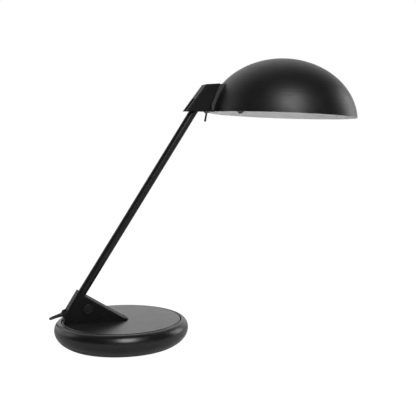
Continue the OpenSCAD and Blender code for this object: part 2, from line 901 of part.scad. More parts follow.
module plug_pins() {
  color("#c9cacc")
    in_plug()
      for (s = [-1, 1])
        translate([sleeve_l + plug_l, s * pin_gap / 2, 0])
          rotate([0, 90, 0]) {
            cylinder(h = pin_l - pin_r, r = pin_r, $fn = 48);
            translate([0, 0, pin_l - pin_r])
              sphere(r = pin_r, $fn = 48);
          }
}

// The bracket's outer shape, grown outwards by g, with its lower face lowered by d
module bracket_shape(g, d) {
  e = max(bracket_edge_r + g, 0.4);
  w = bracket_w + 2 * g;
  rear_x = pivot[0] + bracket_rear_x;
  front_x = pivot[0] + bracket_front_x;
  intersection() {
    faced_bar(rear_x - g * cos(bracket_rear_lean), bracket_top_z + g * sin(bracket_rear_lean),
      180 - bracket_rear_lean, w, e, far);
    faced_bar(rear_x - g * sin(bracket_top_rise), bracket_top_z + g * cos(bracket_top_rise),
      90 + bracket_top_rise, w, e, far);
    faced_bar(front_x + g * cos(bracket_front_lean),
      bracket_low_z - g * sin(bracket_front_lean), -bracket_front_lean, w, e, far);
    translate([pivot[0] - far / 2, -w / 2, bracket_low_z - d])
      cube([far, w, far]);
  }
}

module head_bracket() {
  boss_h = inner_half_w - washer_out + 0.1;
  color("#1c1c1e")
    difference() {
      union() {
        difference() {
          bracket_shape(0, 0);
          bracket_shape(-bracket_wall, 10);
          in_head()
            translate([-bracket_w * 1.5, -slot_half_w, -bracket_w])
              cube([bracket_w * 1.5, 2 * slot_half_w, bracket_w + slot_up]);
          in_head()
            translate([eye_r + 1.4, -slot_half_w, -bracket_w])
              cube([bracket_w, 2 * slot_half_w, bracket_w - bracket_down + switch_body_h + 3]);
        }
        in_head()
          for (s = [-1, 1])
            translate([0, s * (washer_out + boss_h / 2), 0])
              rotate([90, 0, 0])
                cylinder(h = boss_h, r = eye_r - 0.5, center = true);
        in_head()
          translate([eye_r, -inner_half_w - 0.1, -bracket_down])
            cube([switch_x + 4 - eye_r, 2 * inner_half_w + 0.2, switch_tab_t]);
        intersection() {
          bracket_shape(0, 0);
          in_holder(14)
            cylinder(h = far / 4, r = spacer_r);
        }
      }
      cross_rod(pivot[0], pivot[2], pivot_r + 0.03, -bracket_w / 2 + 1, bracket_w / 2 - 1);
      in_holder(0)
        cylinder(h = far / 4, r = nipple_r + 0.1);
      in_head()
        translate([switch_x, 0, -bracket_down - 1])
          cylinder(h = switch_tab_t + 2, r = bushing_r + fit);
    }
}

module pivot_pin() {
  color("#a9abad")
    cross_rod(pivot[0], pivot[2], pivot_r, -bracket_w / 2 + 1.1, bracket_w / 2 - 1.1);
}

module friction_washers() {
  color("#c9a24a")
    in_head()
      for (s = [-1, 1])
        translate([0, s * (eye_half_w + friction_washer_t / 2), 0])
          rotate([90, 0, 0])
            difference() {
              cylinder(h = friction_washer_t, r = eye_r - 0.2, center = true);
              cylinder(h = friction_washer_t + 2, r = pivot_r + 0.15, center = true);
            }
}

module neck_nipple() {
  color("#a9abad")
    in_holder(9.5)
      difference() {
        cylinder(h = holder_start + 6 - 9.5, r = nipple_r);
        translate([0, 0, -1])
          cylinder(h = far / 4, r = nipple_r - nipple_wall);
      }
}

module neck_nut() {
  color("#a9abad")
    in_holder(11)
      difference() {
        rotate(30)
          cylinder(h = 3, r = nipple_r * 1.6, $fn = 6);
        translate([0, 0, -1])
          cylinder(h = 5, r = nipple_r + fit);
      }
}

// The dome as a closed body, grown outwards by g, open downwards by d
module dome_body(g, d) {
  rx = dome_rx + g;
  rz = dome_rz + g;
  start = asin((dome_low - d) / rz);
  in_shade()
    rotate_extrude($fn = 180)
      polygon(concat(
        [[0, -d]],
        oval(0, -dome_low, rx, rz, start, 90, 24)
      ));
}

module spacer_blank(x, l) {
  in_holder(x)
    difference() {
      cylinder(h = l, r = spacer_r);
      translate([0, 0, -1])
        cylinder(h = l + 2, r = nipple_r + 0.1);
    }
}

// Height of the bracket's top face at x
function bracket_top_at(x) =
  bracket_top_z + (x - pivot[0] - bracket_rear_x) * tan(bracket_top_rise);

// The saddle that fills the space between the bracket's front face and the shade
module outer_spacer() {
  w = bracket_w - 2 * spacer_in;
  x0 = pivot[0] + bracket_rear_x + 1;
  x1 = x0 + 36;
  low = bracket_low_z + 1.2;
  color("#1c1c1e")
    difference() {
      translate([0, w / 2, 0])
        rotate([90, 0, 0])
          linear_extrude(w)
            polygon([
              [x0, low], [x1, low],
              [x1, bracket_top_at(x1) - 0.8], [x0, bracket_top_at(x0) - 0.8]
            ]);
      in_head()
        translate([0, -w, -bracket_w])
          cube([
            switch_x + max(4, switch_body_l / 2) + gap,
            2 * w,
            bracket_w - bracket_down + switch_tab_t + switch_body_h + gap
          ]);
      bracket_shape(0.1, 0);
      dome_body(0.1, 0);
      in_holder(0)
        cylinder(h = far / 4, r = nipple_r + 0.1);
    }
}

module inner_spacer() {
  color("#8b8d90")
    intersection() {
      spacer_blank(20, holder_start - 20);
      dome_body(-shade_t - 0.1, 0);
    }
}

module head_lead() {
  color("#26262a")
    in_holder(7.5)
      translate([nipple_r - nipple_wall - inner_lead_r - gap, 0, 0])
        cylinder(h = holder_start + 0.5, r = inner_lead_r);
}

module shade() {
  color("#1c1c1e")
    difference() {
      dome_body(0, 0);
      dome_body(-shade_t, 5);
      in_holder(0)
        cylinder(h = far / 4, r = nipple_r + 0.1);
    }
}

module holder_cap() {
  color("#161618")
    in_holder(holder_start)
      difference() {
        rotate_extrude()
          polygon([
            [nipple_r + fit, 0], [spacer_r, 0], [holder_r - 3, 4.2], [holder_r, 7.7],
            [holder_r, holder_cap_l], [12, holder_cap_l], [12, 8], [nipple_r + fit, 8]
          ]);
      }
}

module holder_skirt() {
  color("#161618")
    in_holder(holder_skirt_x)
      rotate_extrude()
        polygon([
          [6, 0], [holder_r, 0], [holder_r, holder_skirt_l - 0.6],
          [holder_r - 0.6, holder_skirt_l], [holder_r - 2.3, holder_skirt_l],
          [holder_r - 2.3, 3], [6, 3]
        ]);
}

module holder_collar() {
  color("#101011")
    in_holder(holder_end - collar_l - 1.4)
      rotate_extrude()
        polygon([
          [holder_r + fit, 0], [collar_r - 1, 0], [collar_r, 1], [collar_r, collar_l - 1],
          [collar_r - 1, collar_l], [holder_r + fit, collar_l]
        ]);
}

module socket_shell() {
  color("#c9a24a")
    in_holder(holder_skirt_x + 3)
      difference() {
        cylinder(h = 16, r = holder_r - 2.4);
        translate([0, 0, -1])
          cylinder(h = 18, r = cap_r + 0.15);
      }
}

module socket_contact() {
  color("#c9a24a")
    in_holder(holder_skirt_x - 3) {
      cylinder(h = 4, r = 2);
      translate([0, 0, 3])
        cylinder(h = 3.2, r = 5.8);
    }
}

module bulb_cap() {
  color("#c9cacc")
    in_holder(cap_x)
      rotate_extrude()
        polygon([
          [0, 0], [4.5, 0], [6, 1.5], [cap_r, 5], [cap_r, cap_l], [0, cap_l]
        ]);
}

module bulb_glass() {
  neck_r = cap_r + 0.1;
  widest = glass_l * 0.42;
  color("#f3f1ea")
    in_holder(cap_x + cap_l)
      rotate_extrude()
        polygon(concat(
          [[0, 0], [neck_r - 1, 0]],
          [for (i = [1:9]) let (u = i / 10)
            [neck_r - 1 + (glass_r - neck_r + 1) * sin(90 * u), widest * u]],
          [for (i = [0:16]) let (u = i / 16)
            [glass_r * pow(cos(90 * u), 0.8), widest + (glass_l - widest) * sin(90 * u)]]
        ));
}

module switch_body() {
  color("#151516")
    in_head() {
      translate([switch_x - switch_body_l / 2, -switch_body_half_w, tab_top])
        cube([switch_body_l, 2 * switch_body_half_w, switch_body_h]);
      for (s = [-1, 0, 1])
        translate([switch_x - 0.8, s * 4.2 - 1, tab_top + switch_body_h - 0.1])
          cube([0.8, 2, 2.3]);
    }
}

module switch_bushing() {
  low = -bracket_down - bushing_drop;
  color("#a9abad")
    in_head()
      translate([switch_x, 0, low])
        difference() {
          cylinder(h = tab_top - low, r = bushing_r);
          translate([0, 0, -1])
            cylinder(h = tab_top - low + 2, r = bushing_r - 0.6);
        }
}

module switch_nut() {
  color("#a9abad")
    in_head()
      translate([switch_x, 0, -bracket_down - 1.7])
        difference() {
          cylinder(h = 1.7, r = bushing_r * 1.4, $fn = 6);
          translate([0, 0, -1])
            cylinder(h = 4, r = bushing_r + fit);
        }
}

module switch_lever() {
  color("#a9abad")
    in_head()
      translate([switch_x, 0, lever_pivot])
        rotate([0, 180 + lever_tilt, 0]) {
          rotate([90, 0, 0])
            cylinder(h = 2.8, r = 1.8, center = true, $fn = 48);
          cylinder(h = lever_l - 4, r = lever_r, $fn = 48);
          translate([0, 0, lever_l - 4])
            cylinder(h = 4 - 0.7, r1 = lever_r, r2 = lever_r + 0.25, $fn = 48);
          translate([0, 0, lever_l - 0.7])
            cylinder(h = 0.7, r1 = lever_r + 0.25, r2 = lever_r - 0.3, $fn = 48);
        }
}

base_casting();
felt_pad();
cover_plate();
cover_screws();
slide_ring();
swivel_bush();
thrust_washer();
turntable_disc();
swivel_stud();
spring_washer();
swivel_nut();
foot_plate();
foot_screws();
wedge_housing();
clamp_jaws();
clamp_screw();
side_screw();
arm_tube();
arm_end_lug();
arm_lead();
cord_grommet();
power_cord();
cord_coil();
coil_tie();
cord_tail();
plug_sleeve();
plug_body();
plug_pins();
head_bracket();
pivot_pin();
friction_washers();
neck_nipple();
neck_nut();
outer_spacer();
inner_spacer();
head_lead();
shade();
holder_cap();
holder_skirt();
holder_collar();
socket_shell();
socket_contact();
bulb_cap();
bulb_glass();
switch_body();
switch_bushing();
switch_nut();
switch_lever();
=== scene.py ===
import math

import bmesh
import bpy
from mathutils import Matrix, Vector


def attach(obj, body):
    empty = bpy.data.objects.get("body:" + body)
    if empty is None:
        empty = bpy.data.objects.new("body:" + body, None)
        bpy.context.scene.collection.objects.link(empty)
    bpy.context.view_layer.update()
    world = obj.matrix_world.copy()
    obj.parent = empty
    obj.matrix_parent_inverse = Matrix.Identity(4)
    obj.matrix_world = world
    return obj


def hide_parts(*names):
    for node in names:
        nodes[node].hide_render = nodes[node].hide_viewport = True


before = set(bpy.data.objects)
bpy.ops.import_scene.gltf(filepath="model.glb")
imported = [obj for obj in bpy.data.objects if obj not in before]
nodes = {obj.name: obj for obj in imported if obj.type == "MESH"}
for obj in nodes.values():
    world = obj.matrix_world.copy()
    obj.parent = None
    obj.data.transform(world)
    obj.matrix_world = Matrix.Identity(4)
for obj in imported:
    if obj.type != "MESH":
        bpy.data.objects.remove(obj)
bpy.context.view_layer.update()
scene = bpy.context.scene

# ---------------------------------------------------------------- camera
CAM_DIP = 5.731
CAM_HEADING = 16.0  # held at this value while the rest was fitted, not measured

cam = bpy.data.objects.new("camera", bpy.data.cameras.new("camera"))
scene.collection.objects.link(cam)
cam.location = (-0.1642, -1.0328, 0.3019)
cam.rotation_euler = (math.radians(90 - CAM_DIP), 0, math.radians(-CAM_HEADING))
cam.data.sensor_width = 36
cam.data.lens = 62.38
cam.data.clip_start = 0.01
cam.data.clip_end = 50
scene.camera = cam

# ---------------------------------------------------------------- sizes, in metres
MM = 0.001
EXIT = Vector((-86, 0, 46.8)) * MM
EXIT_DIP = math.radians(18)
CORD_R = 2.0 * MM
COIL_AT = Vector((-30, 138, 0)) * MM
COIL_LOW = 3.3 * MM
COIL_R = 23 * MM
PITCH = 4.5 * MM
LAYERS = 4
LAYER_TURNS = 2.75
COIL_OUT = COIL_R + LAYER_TURNS * PITCH / 2
PLUG_AT = Vector((31.8, 146.6, 6.9)) * MM
PLUG_TURN = math.radians(-60)
PIVOT = Vector((116.51, 0, 348.0)) * MM
SHADE_TILT = math.radians(2.33)
SHADE_CENTRE = PIVOT + Matrix.Rotation(SHADE_TILT, 3, "Y") @ (Vector((133.6, 0, -10.3)) * MM)

CORD_ROUTE = [
    (-86, 0, 46.8), (-89.4, 0.1, 45.7), (-93.2, 1.2, 44.1), (-97.9, 4.5, 41.7),
    (-100.8, 9.6, 39.3), (-101.5, 15.5, 37.5), (-101, 26, 34.8), (-100.3, 37, 32),
    (-99.3, 48, 29.3), (-98, 59, 26.6), (-96.5, 70, 24), (-94.8, 81, 21.5),
    (-92.7, 92, 19.1), (-90.3, 103, 16.8), (-87.5, 113.5, 14.7), (-84.2, 124, 12.8),
    (-80.2, 134, 10.9), (-75.6, 143.5, 9), (-69.6, 152, 7.2), (-62, 159, 5.6),
    (-53.5, 164, 4.4), (-45, 166.7, 3.6), (-39, 167.2, 3.3), (-34, 167.2, 3.3),
]
TAIL_ROUTE = [
    (-26, 167.2, 16.8), (-21, 167.2, 16.8), (-14, 167, 15.8), (-6.5, 166.6, 13.7),
    (1, 165.9, 11.3), (8, 164.8, 9.3), (14.1, 163.3, 7.8), (19.7, 160.5, 7.1),
    (24.7, 156.7, 6.9), (28.7, 151.9, 6.9), (31.8, 146.6, 6.9),
]


# ---------------------------------------------------------------- geometry helpers
def link(name, mesh):
    obj = bpy.data.objects.new(name, mesh)
    scene.collection.objects.link(obj)
    return obj


def mesh_object(name, verts, faces, smooth=True):
    mesh = bpy.data.meshes.new(name)
    mesh.from_pydata([tuple(v) for v in verts], [], faces)
    mesh.validate()
    mesh.update()
    bm = bmesh.new()
    bm.from_mesh(mesh)
    bmesh.ops.recalc_face_normals(bm, faces=bm.faces)
    bm.to_mesh(mesh)
    bm.free()
    for p in mesh.polygons:
        p.use_smooth = smooth
    return link(name, mesh)


def curve_points(points, n):
    """Catmull-Rom points through the given ones, n for each stretch."""
    pts = [Vector(p) for p in points]
    out = []
    for i in range(len(pts) - 1):
        a = pts[i - 1] if i else 2 * pts[0] - pts[1]
        b, c = pts[i], pts[i + 1]
        d = pts[i + 2] if i + 2 < len(pts) else 2 * pts[-1] - pts[-2]
        for k in range(n):
            t = k / n
            out.append(0.5 * ((2 * b) + (c - a) * t + (2 * a - 5 * b + 4 * c - d) * t * t
                              + (3 * b - a - 3 * c + d) * t ** 3))
    return out + [pts[-1]]


def tube(name, points, radii, sides=16):
    """A closed tube along the points. radii is one radius or one for each point."""
    m = len(points)
    if not hasattr(radii, "__len__"):
        radii = [radii] * m
    tangents = []
    for i in range(m):
        tangents.append((points[min(i + 1, m - 1)] - points[max(i - 1, 0)]).normalized())
    normal = tangents[0].orthogonal().normalized()
    verts = []
    for i in range(m):
        normal = (normal - tangents[i] * normal.dot(tangents[i])).normalized()
        other = tangents[i].cross(normal)
        for k in range(sides):
            a = 2 * math.pi * k / sides
            verts.append(points[i] + radii[i] * (math.cos(a) * normal + math.sin(a) * other))
    faces = []
    for i in range(m - 1):
        for k in range(sides):
            a, b = i * sides + k, i * sides + (k + 1) % sides
            faces.append((a, b, b + sides, a + sides))
    faces.append(tuple(range(sides)))
    faces.append(tuple((m - 1) * sides + k for k in range(sides)))
    return mesh_object(name, verts, faces)


def turned(name, profile, place, steps):
    """A solid of revolution about Z from (radius, height) pairs, then put in place.
    The profile starts and ends on the axis."""
    verts, faces, rows = [], [], []
    for r, z in profile:
        if r < 1e-7:
            rows.append([len(verts)])
            verts.append(Vector((0, 0, z)))
        else:
            rows.append(list(range(len(verts), len(verts) + steps)))
            for k in range(steps):
                a = 2 * math.pi * k / steps
                verts.append(Vector((r * math.cos(a), r * math.sin(a), z)))
    for a, b in zip(rows, rows[1:]):
        for k in range(steps):
            j = (k + 1) % steps
            if len(a) == 1:
                faces.append((a[0], b[k], b[j]))
            elif len(b) == 1:
                faces.append((a[k], a[j], b[0]))
            else:
                faces.append((a[k], a[j], b[j], b[k]))
    return mesh_object(name, [place @ v for v in verts], faces)


def soften(obj, width):
    """Rounds the sharp edges, in the mesh itself."""
    bevel = obj.modifiers.new("edges", "BEVEL")
    bevel.width = width
    bevel.segments = 2
    bevel.limit_method = "ANGLE"
    bevel.angle_limit = math.radians(50)
    dg = bpy.context.evaluated_depsgraph_get()
    mesh = bpy.data.meshes.new_from_object(obj.evaluated_get(dg))
    old = obj.data
    obj.modifiers.clear()
    obj.data = mesh
    mesh.name = old.name
    for p in mesh.polygons:
        p.use_smooth = True


# ---------------------------------------------------------------- materials
def tree_of(mat):
    mat.use_nodes = True
    tree = mat.node_tree
    tree.nodes.clear()
    out = tree.nodes.new("ShaderNodeOutputMaterial")
    shader = tree.nodes.new("ShaderNodeBsdfPrincipled")
    tree.links.new(shader.outputs[0], out.inputs[0])
    return tree, shader


def noise(tree, coords, scale, detail=3.0, rough=0.55, stretch=None):
    node = tree.nodes.new("ShaderNodeTexNoise")
    node.inputs["Scale"].default_value = scale
    node.inputs["Detail"].default_value = detail
    node.inputs["Roughness"].default_value = rough
    if stretch:
        mapping = tree.nodes.new("ShaderNodeMapping")
        mapping.inputs["Scale"].default_value = stretch
        tree.links.new(coords, mapping.inputs["Vector"])
        coords = mapping.outputs["Vector"]
    tree.links.new(coords, node.inputs["Vector"])
    return node.outputs["Fac"]


def ramp(tree, fac, low, high):
    node = tree.nodes.new("ShaderNodeMapRange")
    node.inputs["From Min"].default_value = 0.3
    node.inputs["From Max"].default_value = 0.7
    node.inputs["To Min"].default_value = low
    node.inputs["To Max"].default_value = high
    tree.links.new(fac, node.inputs["Value"])
    return node.outputs["Result"]


def two_colours(tree, fac, low, high):
    node = tree.nodes.new("ShaderNodeValToRGB")
    node.color_ramp.elements[0].position = 0.3
    node.color_ramp.elements[1].position = 0.7
    node.color_ramp.elements[0].color = (*low, 1)
    node.color_ramp.elements[1].color = (*high, 1)
    tree.links.new(fac, node.inputs["Fac"])
    return node.outputs["Color"]


def bump(tree, shader, heights):
    """Stacks (height, distance, strength) bumps on the shader."""
    last = None
    for height, distance, strength in heights:
        node = tree.nodes.new("ShaderNodeBump")
        node.inputs["Distance"].default_value = distance
        node.inputs["Strength"].default_value = strength
        tree.links.new(height, node.inputs["Height"])
        if last:
            tree.links.new(last, node.inputs["Normal"])
        last = node.outputs["Normal"]
    tree.links.new(last, shader.inputs["Normal"])


def material(name, low, high, rough, metal=0.0, scale=60.0, grain=900.0, depth=0.00002,
             strength=0.25, stretch=None, specular=0.5):
    mat = bpy.data.materials.new(name)
    tree, shader = tree_of(mat)
    coords = tree.nodes.new("ShaderNodeTexCoord").outputs["Object"]
    cloud = noise(tree, coords, scale, 4.0)
    tree.links.new(two_colours(tree, cloud, low, high), shader.inputs["Base Color"])
    patch = noise(tree, coords, scale * 2.3, 2.0, stretch=stretch)
    tree.links.new(ramp(tree, patch, rough[0], rough[1]), shader.inputs["Roughness"])
    fine = noise(tree, coords, grain, 2.0, stretch=stretch)
    bump(tree, shader, [(fine, depth, strength)])
    shader.inputs["Metallic"].default_value = metal
    shader.inputs["Specular IOR Level"].default_value = specular
    return mat


base_paint = material("base_enamel", (0.0070, 0.0068, 0.0068), (0.0105, 0.0102, 0.0102),
                      (0.27, 0.31), scale=35, grain=1100, depth=0.00001, strength=0.08)
disc_paint = material("disc_enamel", (0.013, 0.0115, 0.0112), (0.018, 0.0162, 0.0158),
                      (0.28, 0.32), scale=30, grain=1300, depth=0.00001, strength=0.10)
wedge_paint = material("wedge_enamel", (0.0028, 0.0028, 0.0028), (0.0050, 0.0049, 0.0049),
                       (0.46, 0.54), scale=70, grain=1500, depth=0.00005, strength=0.35,
                       specular=0.15)
arm_paint = material("arm_enamel", (0.0055, 0.0055, 0.0055), (0.009, 0.009, 0.009),
                     (0.30, 0.36), scale=45, grain=1200, depth=0.00002, strength=0.2,
                     specular=0.3)
black_cap = material("blackened_steel", (0.0035, 0.0035, 0.0035), (0.0065, 0.0065, 0.0065),
                     (0.36, 0.46), scale=220, grain=2500, depth=0.00003, strength=0.3,
                     specular=0.25)
steel = material("zinc_steel", (0.50, 0.51, 0.53), (0.64, 0.65, 0.66), (0.30, 0.42),
                 metal=1.0, scale=150, grain=1800, depth=0.00001, strength=0.2)
cover_steel = material("cover_steel", (0.44, 0.45, 0.46), (0.56, 0.57, 0.58), (0.34, 0.46),
                       metal=1.0, scale=60, grain=900, depth=0.00001, strength=0.2,
                       stretch=(1, 12, 1))
brass = material("brass", (0.60, 0.42, 0.16), (0.74, 0.55, 0.26), (0.26, 0.38), metal=1.0,
                 scale=160, grain=1800, depth=0.00001, strength=0.2)
nickel = material("nickel", (0.62, 0.60, 0.56), (0.74, 0.72, 0.68), (0.18, 0.28), metal=1.0,
                  scale=200, grain=2200, depth=0.00001, strength=0.15)
lever_metal = material("lever_metal", (0.050, 0.050, 0.052), (0.085, 0.085, 0.088),
                       (0.28, 0.38), metal=1.0, scale=300, grain=2600, depth=0.00001,
                       strength=0.2)
acetal = material("acetal", (0.70, 0.69, 0.64), (0.80, 0.79, 0.75), (0.38, 0.48), scale=90,
                  grain=1500, depth=0.00001, strength=0.2)
holder_plastic = material("holder_plastic", (0.011, 0.011, 0.011), (0.018, 0.0175, 0.017),
                          (0.22, 0.30), scale=120, grain=2000, depth=0.00001, strength=0.15)
plug_plastic = material("plug_plastic", (0.015, 0.015, 0.016), (0.024, 0.024, 0.025),
                        (0.42, 0.52), scale=160, grain=2600, depth=0.00004, strength=0.4)
sheath = material("lead_sheath", (0.013, 0.013, 0.014), (0.022, 0.022, 0.023), (0.38, 0.50),
                  scale=260, grain=3200, depth=0.00002, strength=0.3)


def felt_material():
    mat = bpy.data.materials.new("wool_felt")
    tree, shader = tree_of(mat)
    coords = tree.nodes.new("ShaderNodeTexCoord").outputs["Object"]
    fibres = noise(tree, coords, 1400, 6.0, 0.75)
    cloud = noise(tree, coords, 90, 3.0)
    mix = tree.nodes.new("ShaderNodeMath")
    mix.operation = "MULTIPLY_ADD"
    mix.inputs[1].default_value = 0.35
    tree.links.new(cloud, mix.inputs[0])
    tree.links.new(fibres, mix.inputs[2])
    tree.links.new(two_colours(tree, mix.outputs[0], (0.012, 0.012, 0.013),
                               (0.045, 0.045, 0.047)), shader.inputs["Base Color"])
    shader.inputs["Roughness"].default_value = 0.95
    shader.inputs["Sheen Weight"].default_value = 0.3
    bump(tree, shader, [(fibres, 0.0003, 0.8)])
    return mat


def strap_material():
    mat = bpy.data.materials.new("woven_strap")
    tree, shader = tree_of(mat)
    coords = tree.nodes.new("ShaderNodeTexCoord").outputs["Object"]
    waves = []
    for direction in ("Y", "Z"):
        wave = tree.nodes.new("ShaderNodeTexWave")
        wave.wave_type = "BANDS"
        wave.bands_direction = direction
        wave.inputs["Scale"].default_value = 520
        wave.inputs["Distortion"].default_value = 0.8
        tree.links.new(coords, wave.inputs["Vector"])
        waves.append(wave.outputs["Fac"])
    weave = tree.nodes.new("ShaderNodeMath")
    weave.operation = "MULTIPLY"
    tree.links.new(waves[0], weave.inputs[0])
    tree.links.new(waves[1], weave.inputs[1])
    tree.links.new(two_colours(tree, weave.outputs[0], (0.010, 0.010, 0.011),
                               (0.040, 0.040, 0.043)), shader.inputs["Base Color"])
    shader.inputs["Roughness"].default_value = 0.85
    bump(tree, shader, [(weave.outputs[0], 0.00015, 0.7)])
    return mat


def frosted_material():
    mat = bpy.data.materials.new("frosted_glass")
    tree, shader = tree_of(mat)
    coords = tree.nodes.new("ShaderNodeTexCoord").outputs["Object"]
    cloud = noise(tree, coords, 60, 3.0)
    tree.links.new(two_colours(tree, cloud, (0.80, 0.79, 0.76), (0.86, 0.85, 0.83)),
                   shader.inputs["Base Color"])
    tree.links.new(ramp(tree, noise(tree, coords, 400, 2.0), 0.34, 0.44),
                   shader.inputs["Roughness"])
    shader.inputs["Subsurface Weight"].default_value = 0.15
    shader.inputs["Subsurface Scale"].default_value = 0.004
    bump(tree, shader, [(noise(tree, coords, 2600, 2.0), 0.00002, 0.3)])
    return mat


def shade_material():
    """Black enamel on the outside of the dome and white enamel on the inside."""
    mat = bpy.data.materials.new("shade_enamel")
    tree, shader = tree_of(mat)
    tex = tree.nodes.new("ShaderNodeTexCoord")
    coords = tex.outputs["Object"]
    away = tree.nodes.new("ShaderNodeVectorMath")
    away.operation = "SUBTRACT"
    away.inputs[1].default_value = tuple(SHADE_CENTRE - Vector((0, 0, 0.012)))
    tree.links.new(coords, away.inputs[0])
    dot = tree.nodes.new("ShaderNodeVectorMath")
    dot.operation = "DOT_PRODUCT"
    tree.links.new(tex.outputs["Normal"], dot.inputs[0])
    tree.links.new(away.outputs[0], dot.inputs[1])
    inner = tree.nodes.new("ShaderNodeMath")
    inner.operation = "LESS_THAN"
    inner.inputs[1].default_value = 0.0
    tree.links.new(dot.outputs["Value"], inner.inputs[0])
    cloud = noise(tree, coords, 28, 4.0)
    black = two_colours(tree, cloud, (0.0045, 0.0043, 0.0044), (0.0070, 0.0067, 0.0068))
    white = two_colours(tree, cloud, (0.84, 0.84, 0.84), (0.89, 0.89, 0.885))
    mix = tree.nodes.new("ShaderNodeMix")
    mix.data_type = "RGBA"
    tree.links.new(inner.outputs[0], mix.inputs[0])
    tree.links.new(black, mix.inputs[6])
    tree.links.new(white, mix.inputs[7])
    tree.links.new(mix.outputs[2], shader.inputs["Base Color"])
    patch = noise(tree, coords, 70, 2.0)
    rough = tree.nodes.new("ShaderNodeMix")
    rough.data_type = "FLOAT"
    tree.links.new(inner.outputs[0], rough.inputs[0])
    tree.links.new(ramp(tree, patch, 0.40, 0.45), rough.inputs[2])
    tree.links.new(ramp(tree, patch, 0.42, 0.50), rough.inputs[3])
    tree.links.new(rough.outputs[0], shader.inputs["Roughness"])
    shader.inputs["Specular IOR Level"].default_value = 0.42
    bump(tree, shader, [(noise(tree, coords, 1100, 2.0), 0.00001, 0.1)])
    return mat


felt = felt_material()
strap = strap_material()
frosted = frosted_material()
shade_enamel = shade_material()

FINISH = {
    "base_casting": base_paint, "felt_pad": felt, "cover_plate": cover_steel,
    "cover_screws": steel, "slide_ring": acetal, "swivel_bush": acetal,
    "thrust_washer": steel, "turntable_disc": disc_paint, "swivel_stud": steel,
    "spring_washer": steel, "swivel_nut": steel, "foot_plate": wedge_paint,
    "foot_screws": steel, "wedge_housing": wedge_paint, "clamp_jaws": steel,
    "clamp_screw": black_cap, "side_screw": black_cap, "arm_tube": arm_paint,
    "arm_end_lug": arm_paint, "arm_lead": sheath, "cord_grommet": sheath,
    "power_cord": sheath, "cord_coil": sheath, "coil_tie": strap, "cord_tail": sheath,
    "plug_sleeve": plug_plastic, "plug_body": plug_plastic, "plug_pins": nickel,
    "head_bracket": wedge_paint, "pivot_pin": steel, "friction_washers": brass,
    "neck_nipple": steel, "neck_nut": steel, "outer_spacer": plug_plastic,
    "inner_spacer": steel, "head_lead": sheath, "shade": shade_enamel,
    "holder_cap": holder_plastic, "holder_skirt": holder_plastic,
    "holder_collar": holder_plastic, "socket_shell": brass, "socket_contact": brass,
    "bulb_cap": nickel, "bulb_glass": frosted, "switch_body": holder_plastic,
    "switch_bushing": nickel, "switch_nut": nickel, "switch_lever": lever_metal,
}
for name, mat in FINISH.items():
    obj = nodes[name]
    if not obj.material_slots:
        obj.data.materials.append(mat)
    for s in obj.material_slots:
        s.material = mat


def finish_piece(obj, body, mat, slot, *replaced):
    obj.data.materials.clear()
    obj.data.materials.append(mat)
    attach(obj, body)
    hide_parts(*replaced)


# ---------------------------------------------------------------- the lead
def coil_points(per_turn):
    turns = LAYERS * LAYER_TURNS
    out = []
    for i in range(round(turns * per_turn) + 1):
        t = i / per_turn
        a = math.radians(90 - 360 * t)
        u = t % (2 * LAYER_TURNS)
        r = COIL_OUT - PITCH * min(u, 2 * LAYER_TURNS - u)
        layer = math.floor(t / LAYER_TURNS + 0.5)
        off = t - layer * LAYER_TURNS
        if layer < 1:
            climb = 0.0
        elif layer > LAYERS - 1:
            climb = float(LAYERS - 1)
        else:
            climb = layer - 0.5 + 0.5 * math.sin(math.radians(360 * max(-0.25, min(0.25, off))))
        out.append(Vector((COIL_AT.x + r * math.cos(a), COIL_AT.y + r * math.sin(a),
                           COIL_LOW + PITCH * climb)))
    return out


route = curve_points([Vector(p) * MM for p in CORD_ROUTE], 4)
tail = curve_points([Vector(p) * MM for p in TAIL_ROUTE], 4)
lead_line = route + coil_points(32) + tail
lead = tube("mains_lead", lead_line, CORD_R, 12)
finish_piece(lead, "turntable", sheath, "lead_sheath", "power_cord", "cord_coil", "cord_tail")

# Tapered strain relief over the lead where it leaves the wedge
RELIEF_REACH = 22.5 * MM
RELIEF_COLLAR = [(9, 3.5), (1.4, 3.5), (1.3, 3.9), (0, 3.9), (-0.25, 3.5), (-0.3, 2.6)]
into = Vector((math.cos(EXIT_DIP), 0, math.sin(EXIT_DIP)))
relief_line = [EXIT + into * depth * MM for depth, r in RELIEF_COLLAR]
relief_r = [r * MM for depth, r in RELIEF_COLLAR]
free = [p for p in route if (p - EXIT).length < RELIEF_REACH][1:]
for i, p in enumerate(free):
    relief_line.append(p)
    relief_r.append((2.6 - 0.5 * (i + 1) / len(free)) * MM)
relief = tube("strain_relief", relief_line, relief_r, 24)
finish_piece(relief, "turntable", sheath, "lead_sheath", "cord_grommet")

# Hook-and-loop strap round the coil
STRAP_PLAY = 0.45 * MM
STRAP_HALF_W = 5 * MM
STRAP_CORNER = 2.2 * MM
STRAP_THICK = 0.7 * MM
CORNER_STEPS = 6
near = COIL_OUT - LAYER_TURNS * PITCH - CORD_R - 1.2 * MM
far = COIL_OUT + CORD_R + STRAP_PLAY
low = COIL_LOW - CORD_R - STRAP_PLAY
high = COIL_LOW + (LAYERS - 1) * PITCH + CORD_R + STRAP_PLAY


def strap_loop(grow):
    x0, x1 = -far - grow, -near + grow
    z0, z1 = low - grow, high + grow
    c = STRAP_CORNER + grow
    pts = []
    for cx, cz, a0 in ((x1 - c, z1 - c, 0), (x0 + c, z1 - c, 90), (x0 + c, z0 + c, 180),
                       (x1 - c, z0 + c, 270)):
        for k in range(CORNER_STEPS + 1):
            a = math.radians(a0 + 90 * k / CORNER_STEPS)
            pts.append((cx + c * math.cos(a), cz + c * math.sin(a)))
    return pts


